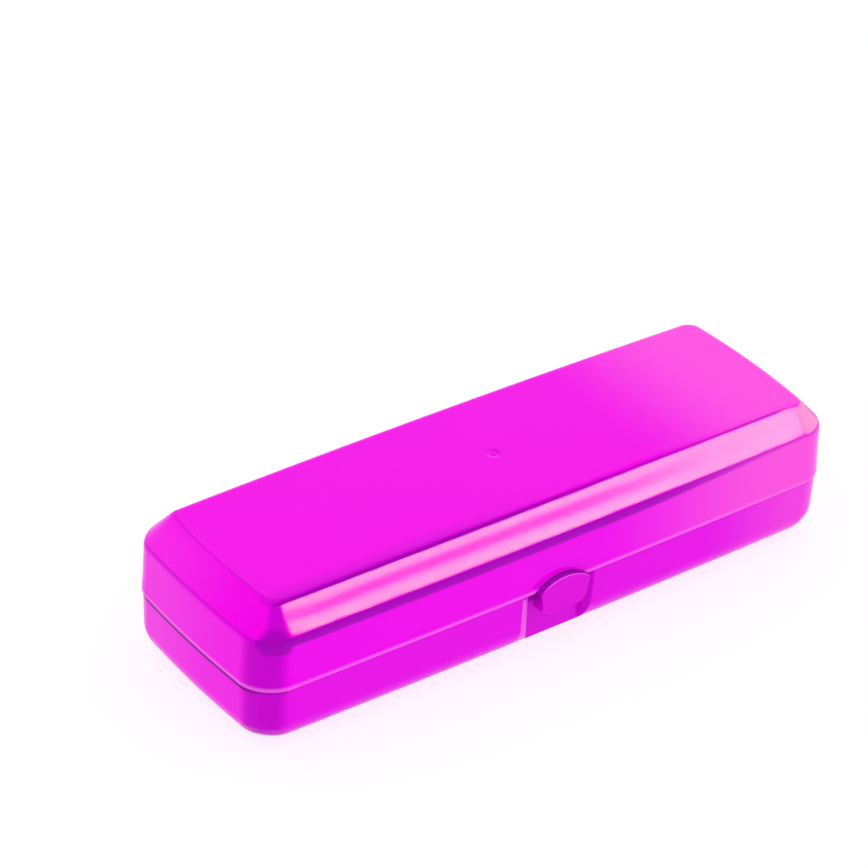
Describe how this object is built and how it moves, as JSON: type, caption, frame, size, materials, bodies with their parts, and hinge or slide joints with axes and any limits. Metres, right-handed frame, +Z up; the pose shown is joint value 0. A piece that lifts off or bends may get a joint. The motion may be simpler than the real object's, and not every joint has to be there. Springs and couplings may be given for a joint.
{
  "type": "toothbrush and toothpaste case",
  "caption": "Long glossy plastic travel case with a chamfered lid hinged at the back and a thumb latch at the front.",
  "frame": {"origin": "centre of the flat underside, on the surface the case rests on", "axes": "+X along the case to its right end as the latch is faced, -Y to the front with the latch, +Y to the back with the hinge, +Z up"},
  "size_m": [0.2004, 0.0731, 0.0442],
  "materials": {
    "shell_plastic": "dyed polypropylene, bright magenta, glossy and a little translucent",
    "latch_plastic": "the lid's dyed polypropylene, glossy",
    "pin_plastic": "dyed polypropylene, bright magenta, plain"
  },
  "bodies": {
    "base": {"base_shell": "shell_plastic", "hinge_pin_left": "pin_plastic", "hinge_pin_right": "pin_plastic"},
    "lid": {"lid_shell": "shell_plastic"},
    "latch": {"latch_tab": "latch_plastic"}
  },
  "joints": [
    {"name": "lid_hinge", "type": "hinge", "parent": "base", "child": "lid", "pos_m": [0, 0.0357, 0.0196], "axis": [-1, 0, 0], "range_deg": [0, 155]},
    {"name": "latch_flex", "type": "hinge", "parent": "lid", "child": "latch", "pos_m": [0, -0.03255, 0.0225], "axis": [-1, 0, 0], "range_deg": [0, 8], "stiffness_Nm_per_rad": 0.05}
  ]
}
